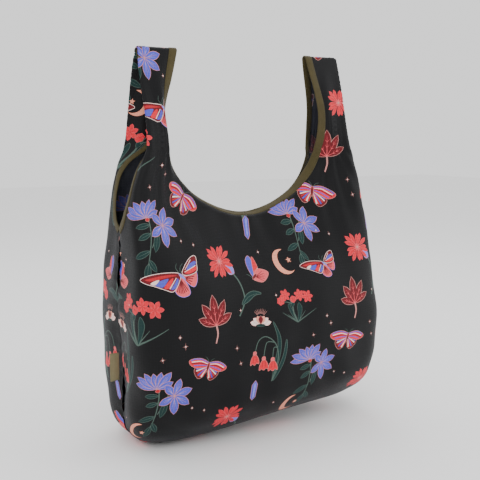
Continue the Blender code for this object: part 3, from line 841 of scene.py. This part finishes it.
# ---- cloth mesh ------------------------------------------------------------------
def inside_cloth(s, v, edge=0.0012):
    side = np.abs(s)
    ok = (side < half_round(v) - edge) & (v > V_SEAM + edge) & (v < HEIGHT - edge)
    neck_s = np.interp(v, NECK_V, NECK_S)
    ok &= ~((v > NECK_BOTTOM - edge) & (side < neck_s + edge))
    arm_s = np.interp(v, ARM_V, ARM_S)
    ok &= ~((v > ARM_BOTTOM - edge) & (side > arm_s - edge))
    return ok


def grid_points():
    out = []
    step = 0.0048
    rows = np.arange(V_SEAM, HEIGHT, step * 0.87)
    for k, v in enumerate(rows):
        s = np.arange(-0.33, 0.33, step) + (step / 2 if k % 2 else 0)
        out.append(np.stack((s, np.full(len(s), v)), 1))
    fine = 0.0022
    for k, v in enumerate(np.arange(0.30, HEIGHT, fine * 1.3)):
        fold = float(half_width(v))
        s = np.arange(fold - 0.022, fold + 0.016, fine) + (fine / 2 if k % 2 else 0)
        out.append(np.stack((s, np.full(len(s), v)), 1))
        out.append(np.stack((-s, np.full(len(s), v)), 1))
    for v in np.arange(HEIGHT - 0.008, HEIGHT, 0.0009):
        s = np.arange(0.09, 0.22, 0.003)
        out.append(np.stack((s, np.full(len(s), v)), 1))
        out.append(np.stack((-s, np.full(len(s), v)), 1))
    p = np.concatenate(out)
    far = np.full(len(p), 1.0)
    close = (p[:, 1] > NECK_BOTTOM - 0.04) & (np.abs(p[:, 0]) < 0.18)
    far[close] = np.hypot(np.abs(p[close, 0])[:, None] - EDGE_S, p[close, 1][:, None] - EDGE_V).min(1)
    p = p[far > 0.0265]
    rows = [p]
    for k, d in enumerate(np.arange(0.0015, 0.0265, 0.0015)):
        pick = slice(k % 2, None, 2)
        a = EDGE_S[pick] + EDGE_TV[pick] * d
        b = EDGE_V[pick] - EDGE_TS[pick] * d
        rows.append(np.stack((a[a > 0.001], b[a > 0.001]), 1))
        rows.append(np.stack((-a[a > 0.001], b[a > 0.001]), 1))
    p = np.concatenate(rows)
    return p[inside_cloth(p[:, 0], p[:, 1])]


def cut_cloth(shift):
    """Flat triangles of the whole panel and the ink of each."""
    s, v = outline()
    ring_s = np.concatenate((s[:-1], -s[:0:-1])) * 1000
    ring_v = np.concatenate((v[:-1], v[:0:-1])) * 1000
    verts = [(a, b) for a, b in zip(ring_s, ring_v)]
    faces = [list(range(len(verts)))]
    inks = [0]
    top = int(len(s) - 1)
    middle = [(0.0, y) for y in np.linspace(V_SEAM, NECK_BOTTOM, 80)[1:-1] * 1000]
    first = len(verts)
    verts += middle
    chain = [0] + list(range(first, len(verts))) + [top]
    edges = [(chain[i], chain[i + 1]) for i in range(len(chain) - 1)]
    verts += [tuple(p) for p in grid_points() * 1000]
    for ink, shape in placed_print(shift):
        first = len(verts)
        verts += wound(laid(shape))
        faces.append(list(range(first, len(verts))))
        inks.append(INK_NAMES.index(ink))
    flat, _, tris, _, _, origin = delaunay_2d_cdt(verts, edges, faces, 0, 1e-4, True)
    keep = [i for i, o in enumerate(origin) if 0 in o]
    tri = np.array([tris[i] for i in keep])
    ink = np.array([inks[max(origin[i])] for i in keep])
    flat = np.array(flat) / 1000
    used, tri = np.unique(tri, return_inverse=True)
    return flat[used], tri.reshape(-1, 3), ink


def new_mesh(name, verts, faces, materials, slots, uv, normals=None):
    mesh = bpy.data.meshes.new(name)
    mesh.from_pydata([tuple(p) for p in verts], [], [tuple(int(i) for i in f) for f in faces])
    for m in materials:
        mesh.materials.append(m)
    mesh.polygons.foreach_set("material_index", np.asarray(slots, np.int32))
    mesh.polygons.foreach_set("use_smooth", np.ones(len(mesh.polygons), bool))
    layer = mesh.uv_layers.new(name="cloth")
    loops = np.empty(len(mesh.loops), np.int32)
    mesh.loops.foreach_get("vertex_index", loops)
    layer.data.foreach_set("uv", np.asarray(uv, np.float32)[loops].ravel())
    mesh.update()
    if normals is None:
        face_outwards(mesh)
    else:
        mesh.normals_split_custom_set_from_vertices([tuple(n) for n in normals])
    obj = bpy.data.objects.new(name, mesh)
    bpy.context.scene.collection.objects.link(obj)
    return obj


def face_outwards(mesh):
    bm = bmesh.new()
    bm.from_mesh(mesh)
    bmesh.ops.recalc_face_normals(bm, faces=bm.faces)
    bm.to_mesh(mesh)
    bm.free()


def cloth_half(name, face, flat, tri, ink, left, materials):
    """One half of a panel as a thin closed sheet: outside, inside and rim."""
    middle = flat[tri][:, :, 0].mean(1)
    pick = middle < 0 if left else middle > 0
    used, t = np.unique(tri[pick], return_inverse=True)
    t = t.reshape(-1, 3)
    ink = ink[pick]
    s = flat[used, 0]
    v = flat[used, 1]
    p = face.point(s, v)
    n = face.normal(s, v)
    if face.back:
        t = t[:, ::-1]
    d1 = p[t[:, 1]] - p[t[:, 0]]
    d2 = p[t[:, 2]] - p[t[:, 0]]
    turned = (np.cross(d1, d2) * n[t].mean(1)).sum(-1)
    if np.median(turned) < 0:
        t = t[:, ::-1]
    count = len(used)
    verts = np.concatenate((p, p - n * CLOTH))
    normals = np.concatenate((n, -n))
    e = np.concatenate((t[:, (0, 1)], t[:, (1, 2)], t[:, (2, 0)]))
    key = np.sort(e, 1)
    code = key[:, 0].astype(np.int64) * count + key[:, 1]
    _, first, seen = np.unique(code, return_index=True, return_counts=True)
    rim = e[first[seen == 1]]
    faces = [tuple(f) for f in t] + [tuple(f + count) for f in t[:, ::-1]]
    faces += [(b, a, a + count, b + count) for a, b in rim]
    slots = np.concatenate((ink, ink + len(INK_NAMES), np.zeros(len(rim), int)))
    uv = np.stack((np.tile(s, 2), np.tile(v, 2)), 1)
    return new_mesh(name, verts, faces, materials, slots, uv, normals)


# ---- materials -------------------------------------------------------------------
def nodes_of(name):
    mat = bpy.data.materials.new(name)
    mat.use_nodes = True
    tree = mat.node_tree
    return mat, tree, tree.nodes["Principled BSDF"]


class Cloth:
    """A cloth material, put together from maths on the cloth's coordinates."""

    def __init__(self, name, specular, sheen, sheen_rough):
        self.mat, self.tree, self.bsdf = nodes_of(name)
        uv = self.tree.nodes.new("ShaderNodeUVMap")
        uv.uv_map = "cloth"
        split = self.tree.nodes.new("ShaderNodeSeparateXYZ")
        self.place = uv.outputs[0]
        self.tree.links.new(self.place, split.inputs[0])
        self.s = split.outputs[0]
        self.v = split.outputs[1]
        self.bsdf.inputs["Specular IOR Level"].default_value = specular
        self.bsdf.inputs["Sheen Weight"].default_value = sheen
        self.bsdf.inputs["Sheen Roughness"].default_value = sheen_rough

    def math(self, kind, a, b=None):
        node = self.tree.nodes.new("ShaderNodeMath")
        node.operation = kind
        for i, value in enumerate((a, b)):
            if isinstance(value, (int, float)):
                node.inputs[i].default_value = value
            elif value is not None:
                self.tree.links.new(value, node.inputs[i])
        return node.outputs[0]

    def plus(self, a, b):
        return self.math("ADD", a, b)

    def times(self, a, b):
        return self.math("MULTIPLY", a, b)

    def wave(self, coord, pitch):
        return self.math("SINE", self.times(coord, 2 * math.pi / pitch))

    def rib(self, coord, pitch, width):
        """1 on a thin rib every pitch metres, 0 between."""
        return self.math("LESS_THAN", self.math("PINGPONG", coord, pitch / 2), width / 2)

    def noise(self, scale, detail):
        node = self.tree.nodes.new("ShaderNodeTexNoise")
        node.inputs["Scale"].default_value = scale
        node.inputs["Detail"].default_value = detail
        self.tree.links.new(self.place, node.inputs["Vector"])
        return node.outputs[0]

    def finish(self, colour, tint, rough, height, strength, depth):
        """Colour, roughness and relief of the surface."""
        mix = self.tree.nodes.new("ShaderNodeVectorMath")
        mix.operation = "SCALE"
        mix.inputs[0].default_value = colour
        bump = self.tree.nodes.new("ShaderNodeBump")
        bump.inputs["Strength"].default_value = strength
        bump.inputs["Distance"].default_value = depth
        self.tree.links.new(tint, mix.inputs["Scale"])
        self.tree.links.new(mix.outputs[0], self.bsdf.inputs["Base Color"])
        self.tree.links.new(rough, self.bsdf.inputs["Roughness"])
        self.tree.links.new(height, bump.inputs["Height"])
        self.tree.links.new(bump.outputs[0], self.bsdf.inputs["Normal"])
        return self.mat


def nylon(name, colour, rough):
    """Ripstop: a fine weave with a thicker thread every few millimetres."""
    c = Cloth(name, 0.17, 0.05, 0.4)
    ribs = c.math("MAXIMUM", c.rib(c.s, 0.0042, 0.0006), c.rib(c.v, 0.0042, 0.0006))
    weave = c.times(c.wave(c.s, 0.0007), c.wave(c.v, 0.0007))
    tint = c.plus(c.times(c.noise(38.0, 4.0), 0.24), 0.86)
    tint = c.plus(tint, c.times(ribs, 0.20))
    tint = c.plus(tint, c.times(weave, 0.05))
    dull = c.math("SUBTRACT", rough, c.times(ribs, 0.08))
    height = c.plus(c.times(weave, 0.35), c.times(ribs, 0.7))
    height = c.plus(height, c.times(c.noise(60.0, 3.0), 1.6))
    c.bsdf.inputs["Sheen Tint"].default_value = (0.75, 0.78, 0.9, 1)
    return c.finish(colour, tint, dull, height, 0.22, 0.0004)


def faded(colour):
    grey = srgb(74, 76, 86)
    return tuple(0.42 * c + 0.58 * g for c, g in zip(colour, grey))


def tape(name, colour, pitch=0.0011):
    """Ribbed binding tape."""
    c = Cloth(name, 0.2, 0.06, 0.6)
    ribs = c.wave(c.s, pitch)
    tint = c.plus(c.times(c.noise(90.0, 5.0), 0.5), 0.72)
    tint = c.plus(tint, c.times(ribs, 0.09))
    dull = c.plus(0.74, c.times(ribs, 0.06))
    height = c.plus(ribs, c.times(c.wave(c.v, 0.0009), 0.5))
    return c.finish(colour, tint, dull, height, 0.45, 0.0002)


CLOTH_MATS = [nylon("ripstop_" + k, INKS[k], 0.56) for k in INK_NAMES]
CLOTH_MATS += [nylon("inside_" + k, faded(INKS[k]), 0.50) for k in INK_NAMES]
OLIVE = tape("olive_binding", srgb(66, 58, 30))
THREAD = tape("olive_thread", srgb(84, 76, 46), 0.0004)
SEAM = tape("seam_tape", srgb(20, 20, 23))
LABEL = tape("label_ribbon", srgb(122, 116, 86), 0.0008)

# ---- panels -----------------------------------------------------------------------
SIDES = (("left", -1), ("right", 1))
FACES = (("front", FRONT, (0.0, 0.0)), ("back", BACK, (18.0, 4.0)))
sheets = {}
for face_name, face, shift in FACES:
    flat, tri, ink = cut_cloth(shift)
    for side_name, sign in SIDES:
        sheets[face_name, side_name] = cloth_half(f"cloth_{face_name}_{side_name}", face, flat, tri, ink,
                                                  sign < 0, CLOTH_MATS)


# ---- bindings -----------------------------------------------------------------------
# Section of the folded tape: place over its width, height over the cloth.
TAPE_SECTION = (
    (1.0, 0.00015), (0.96, 0.00075), (0.5, 0.00085), (0.08, 0.00085), (-0.06, 0.00045), (-0.09, 0.0),
    (-0.06, -0.0008), (0.08, -0.0012), (0.5, -0.0012), (0.96, -0.0011), (1.0, -0.0005),
)
STITCH_PLACE = 0.86
STITCH_PITCH = 0.0034
STITCH_MARGIN = 0.003
STITCH_LIFTS = (0.00095, -0.00125)
STITCH_HALF = 0.001


def over_tape(place, edge, middle, far):
    """Point over the width of the tape, on a curve from its edge to its far side."""
    at_edge = (1 - place) * (1 - 2 * place)
    at_middle = 4 * place * (1 - place)
    return at_edge * edge + at_middle * middle + place * (2 * place - 1) * far


def stitch(at, along, up, lift, run):
    """Corners of one stitch, four sections of three, and their cloth coordinates."""
    over = np.cross(along, up)
    corners = []
    uv = []
    for end, size in ((-1.15, 0.3), (-0.6, 1.0), (0.6, 1.0), (1.15, 0.3)):
        for side, rise in ((-1, -0.3), (0, 1), (1, -0.3)):
            p = at + up * lift + along * end * STITCH_HALF + over * side * size * 0.00028
            corners.append(tuple(p + up * (math.copysign(1, lift) * rise * size * 0.0002)))
            uv.append((run + end * STITCH_HALF, side * 0.0003))
    return corners, uv


def stitch_faces(first):
    out = []
    for q in range(first, first + 9, 3):
        out += [(q, q + 3, q + 4, q + 1), (q + 1, q + 4, q + 5, q + 2), (q, q + 2, q + 5, q + 3)]
    return out + [(first, first + 1, first + 2), (first + 9, first + 11, first + 10)]


def ribbon(name, panels, edge, inwards, width, sign):
    """Folded tape round an edge, with two lines of stitches."""
    verts = []
    faces = []
    uv = []
    slots = []
    s, v = spaced(edge[0], edge[1], 0.0022)
    ds = np.gradient(s)
    dv = np.gradient(v)
    size = np.hypot(ds, dv)
    in_s = inwards * dv / size * width
    in_v = -inwards * ds / size * width
    run = np.concatenate(([0], np.cumsum(np.hypot(np.diff(s), np.diff(v)))))
    wave = 0.00012 * np.sin(run * 900)
    count = len(TAPE_SECTION)
    length = len(run)
    for face in panels:
        near = face.point(sign * s, v)
        middle = face.point(sign * (s + in_s * 0.5), np.minimum(v + in_v * 0.5, HEIGHT))
        far_v = np.minimum(v + in_v, HEIGHT)
        far = face.point(sign * (s + in_s), far_v)
        near_up = unit(face.normal(sign * s, v))
        far_up = face.normal(sign * (s + in_s), far_v)
        outwards = unit(near - middle)
        section = []
        for place, lift in TAPE_SECTION:
            w = max(place, 0.0)
            up = unit(near_up * (1 - w) + far_up * w)
            extra = wave if 0.2 < place < 1 else 0 * wave
            point = over_tape(w, near, middle, far) + up * (lift + np.sign(lift) * extra)[:, None]
            section.append(point + outwards * (max(-place, 0.0) * width))
        start = len(verts)
        verts += [tuple(p) for p in np.array(section).reshape(-1, 3)]
        uv += [(r, k * 0.002) for k in range(count) for r in run]
        for k in range(count):
            a = start + k * length
            b = start + (k + 1) % count * length
            faces += [(a + i, a + i + 1, b + i + 1, b + i) for i in range(length - 1)]
        faces.append(tuple(start + k * length for k in range(count)))
        faces.append(tuple(start + k * length + length - 1 for k in reversed(range(count))))
        slots += [0] * (count * (length - 1) + 2)
        for lift in STITCH_LIFTS:
            for r in np.arange(STITCH_MARGIN, run[-1] - STITCH_MARGIN, STITCH_PITCH):
                i = int(np.searchsorted(run, r))
                j = min(i + 1, length - 1)
                line = [over_tape(STITCH_PLACE, near[k], middle[k], far[k]) for k in (i - 1, i, j)]
                corners, places = stitch(line[1], unit(line[2] - line[0]), unit(far_up[i]), lift, r)
                added = stitch_faces(len(verts))
                faces += added
                slots += [1] * len(added)
                verts += corners
                uv += places
    return new_mesh(name, verts, faces, [OLIVE, THREAD], slots, uv)


neck_edge = (NECK_S, NECK_V)
arm_edge = (ARM_S, ARM_V)
bindings = {}
for side_name, sign in SIDES:
    for face_name, face, _ in FACES:
        name = f"neck_binding_{face_name}_{side_name}"
        bindings[face_name, side_name] = ribbon(name, [face], neck_edge, 1, NECK_TAPE, sign)
    name = f"armhole_binding_{side_name}"
    bindings["arm", side_name] = ribbon(name, [FRONT, BACK], arm_edge, -1, ARM_TAPE, sign)

# ---- bake the cloth and bindings in place, hide the imported parts they replace -------
for side_name, sign in SIDES:
    body = f"{side_name}_handle"
    for face_name, _, _ in FACES:
        sheet = sheets[face_name, side_name]
        binding = bindings[face_name, side_name]
        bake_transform(sheet)
        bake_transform(binding)
        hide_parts(f"{face_name}_panel", f"{face_name}_panel_{side_name}", f"{face_name}_base",
                    f"{face_name}_base_{side_name}", f"{body}_{face_name}_strap")
        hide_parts(f"{face_name}_neck_binding", f"{body}_{face_name}_neck_binding")
    arm = bindings["arm", side_name]
    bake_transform(arm)
    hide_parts(f"{side_name}_armhole_binding", f"{body}_front_armhole_binding",
                f"{body}_back_armhole_binding")


# ---- small pieces ----------------------------------------------------------------------
def thin_piece(name, node, verts, uv, rows, cols, material):
    """A thin closed piece in the place of a framed node: two layers of a grid and their rim."""
    n = rows * cols
    faces = []
    for i in range(rows - 1):
        for a in range(i * cols, i * cols + cols - 1):
            quad = (a, a + 1, a + cols + 1, a + cols)
            faces.append(quad)
            faces.append(tuple(k + n for k in reversed(quad)))
    rim = list(range(cols)) + [i * cols + cols - 1 for i in range(1, rows)]
    rim += [(rows - 1) * cols + j for j in range(cols - 2, -1, -1)]
    rim += [i * cols for i in range(rows - 2, 0, -1)]
    for k, a in enumerate(rim):
        b = rim[(k + 1) % len(rim)]
        faces.append((b, a, a + n, b + n))
    obj = new_mesh(name, verts, faces, [material], [0] * len(faces), uv)
    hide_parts(node)
    return obj


def cloth_strip(name, node, material, wave=0.0, rows=40, box=None):
    """A flat piece of tape or cloth."""
    cols = 9
    lo, hi = (np.array(p, float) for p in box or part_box(node))
    size = hi - lo
    thin, wide, long = np.argsort(size)
    verts = []
    uv = []
    for face in (1, -1):
        for a in np.linspace(0, 1, rows):
            for b in np.linspace(0, 1, cols):
                p = (lo + hi) / 2
                p[long] = lo[long] + size[long] * a
                p[wide] = lo[wide] + size[wide] * b
                rim = min(min(b, 1 - b) * 8, 1)
                p[thin] += face * size[thin] * (0.25 + 0.2 * rim)
                p[thin] += wave * math.sin(9 * a + 2 * b) * math.sin(math.pi * a)
                verts.append(tuple(p))
                uv.append((a * size[long], b * size[wide]))
    return thin_piece(name, node, verts, uv, rows, cols, material)


def label_loop(name, node):
    """Ribbon folded in two, its loop outwards and a little askew."""
    lo, hi = (np.array(p, float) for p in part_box(node))
    reach = hi[0] - lo[0]
    path = []
    foot = lo[0] + reach * 0.12
    for k in range(13):
        path.append((hi[0] - reach * 0.88 * k / 12, 0.00032 + 0.0005 * math.sin(k * 0.26)))
    for k in range(1, 6):
        a = math.pi / 2 + math.pi * k / 6
        path.append((foot + 0.0011 * math.cos(a), 0.0007 * math.sin(a)))
    for k in range(13):
        path.append((foot + reach * 0.88 * k / 12, -0.00032 - 0.0005 * math.sin((12 - k) * 0.26)))
    path = np.array(path)
    d = np.gradient(path, axis=0)
    d = d / np.maximum(np.linalg.norm(d, axis=1, keepdims=True), 1e-9)
    out = np.stack((d[:, 1], -d[:, 0]), 1)
    run = np.concatenate(([0], np.cumsum(np.linalg.norm(np.diff(path, axis=0), axis=1))))
    rows = 15
    verts = []
    uv = []
    for layer in (0.0, -0.00022):
        for i in range(rows):
            share = i / (rows - 1)
            z = lo[2] + (hi[2] - lo[2]) * share
            for k, (x, y) in enumerate(path + out * layer):
                lean = (hi[0] - x) / reach
                verts.append((x, y + 0.0012 * lean * math.sin(2.2 * share), z - 0.0015 * lean * (1 - share)))
                uv.append((z, run[k]))
    return thin_piece(name, node, verts, uv, rows, len(path), LABEL)


def side_tape(name, node, sign):
    """Tape over the side seam, inside the cloth."""
    v = np.linspace(0.03, ARM_BOTTOM - 0.008, 90)
    line = FRONT.point(sign * half_round(v), v)
    widths = (-0.0042, -0.0014, 0.0014, 0.0042)
    verts = []
    uv = []
    for inset in (0.0021, 0.0027):
        for k, p in enumerate(line):
            for w in widths:
                verts.append((p[0] - sign * (inset + 14 * w * w), w, p[2]))
                uv.append((v[k], w))
    return thin_piece(name, node, verts, uv, len(v), len(widths), SEAM)


left_tape = side_tape("side_tape_left", "left_side_seam_tape", -1)
right_tape = side_tape("side_tape_right", "right_side_seam_tape", 1)
base_tape = cloth_strip("base_tape", "bottom_seam_tape", SEAM)
base_seam = cloth_strip("base_seam", "bottom_seam", SEAM)
for piece in (base_tape, base_seam):
    for vertex in piece.data.vertices:
        vertex.co.z += float(lift_at(vertex.co.x))
for piece in (left_tape, right_tape, base_tape, base_seam):
    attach(piece, "bag_body")
for side_name, sign in SIDES:
    ends = sorted((sign * 0.1180, sign * 0.1700))
    box = ((ends[0], -0.0011, HEIGHT - 0.0016), (ends[1], 0.0011, HEIGHT - 0.0002))
    name = f"top_seam_{side_name}"
    seam = cloth_strip(name, f"{side_name}_handle_top_seam", CLOTH_MATS[0], rows=14, box=box)
    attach(seam, f"{side_name}_handle")
label = label_loop("label_ribbon", "side_label")
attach(label, "label")
pouch_front = cloth_strip("pouch_front", "stow_pouch_front", CLOTH_MATS[0], 0.0006, 24)
pouch_back = cloth_strip("pouch_back", "stow_pouch_back", CLOTH_MATS[0], 0.0006, 24)
pouch_edge = cloth_strip("pouch_edge", "stow_pouch_binding", OLIVE)
for piece in (pouch_front, pouch_back, pouch_edge):
    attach(piece, "stow_pouch")

for face_name, _, _ in FACES:
    for side_name, _ in SIDES:
        sheet = sheets[face_name, side_name]

# ---- stage ---------------------------------------------------------------------------
def plane(name, size, location, colour):
    mesh = bpy.data.meshes.new(name)
    h = size / 2
    mesh.from_pydata([(-h, -h, 0), (h, -h, 0), (h, h, 0), (-h, h, 0)], [], [(0, 1, 2, 3)])
    mat, tree, bsdf = nodes_of(name)
    noise = tree.nodes.new("ShaderNodeTexNoise")
    noise.inputs["Scale"].default_value = 3.0
    ramp = tree.nodes.new("ShaderNodeValToRGB")
    ramp.color_ramp.elements[0].color = tuple(c * 0.985 for c in colour) + (1,)
    ramp.color_ramp.elements[1].color = (*colour, 1)
    tree.links.new(noise.outputs[0], ramp.inputs[0])
    tree.links.new(ramp.outputs[0], bsdf.inputs["Base Color"])
    bsdf.inputs["Roughness"].default_value = 0.9
    bsdf.inputs["Specular IOR Level"].default_value = 0.1
    mesh.materials.append(mat)
    obj = bpy.data.objects.new(name, mesh)
    obj.location = location
    bpy.context.scene.collection.objects.link(obj)
    return obj


plane("floor", 12.0, (0, 0, -0.0005), (0.93, 0.93, 0.93))

world = bpy.data.worlds.new("studio")
world.use_nodes = True
world.node_tree.nodes["Background"].inputs[0].default_value = (1, 1, 1, 1)
world.node_tree.nodes["Background"].inputs[1].default_value = 1.25
bpy.context.scene.world = world


def area_light(name, location, target, size, power):
    light = bpy.data.lights.new(name, "AREA")
    light.shape = "RECTANGLE"
    light.size = size[0]
    light.size_y = size[1]
    light.energy = power
    obj = bpy.data.objects.new(name, light)
    obj.location = location
    d = np.array(target, float) - np.array(location, float)
    yaw = math.atan2(d[1], d[0])
    pitch = math.atan2(math.hypot(d[0], d[1]), -d[2])
    obj.rotation_euler = (pitch, 0, yaw - math.pi / 2)
    bpy.context.scene.collection.objects.link(obj)


area_light("key", (-1.6, -1.8, 1.9), (0, 0, 0.3), (1.4, 1.4), 24)
area_light("fill", (1.9, -1.2, 1.2), (0, 0, 0.3), (1.2, 1.6), 16)
area_light("top", (0.2, 0.9, 2.2), (0, 0, 0.4), (1.6, 1.0), 16)

# ---- camera ----------------------------------------------------------------------------
AZIMUTH = math.radians(30.4)
AIM = math.radians(0.195)
PITCH = math.radians(7.68)
DISTANCE = 1.250
EYE = 0.4714
LENS = 58.4
camera = bpy.data.cameras.new("camera")
camera.sensor_width = 36
camera.lens = LENS
cam = bpy.data.objects.new("camera", camera)
cam.location = (-math.sin(AZIMUTH) * DISTANCE, -math.cos(AZIMUTH) * DISTANCE, EYE)
cam.rotation_euler = (math.radians(90) - PITCH, 0, AIM - AZIMUTH)
bpy.context.scene.collection.objects.link(cam)
bpy.context.scene.camera = cam
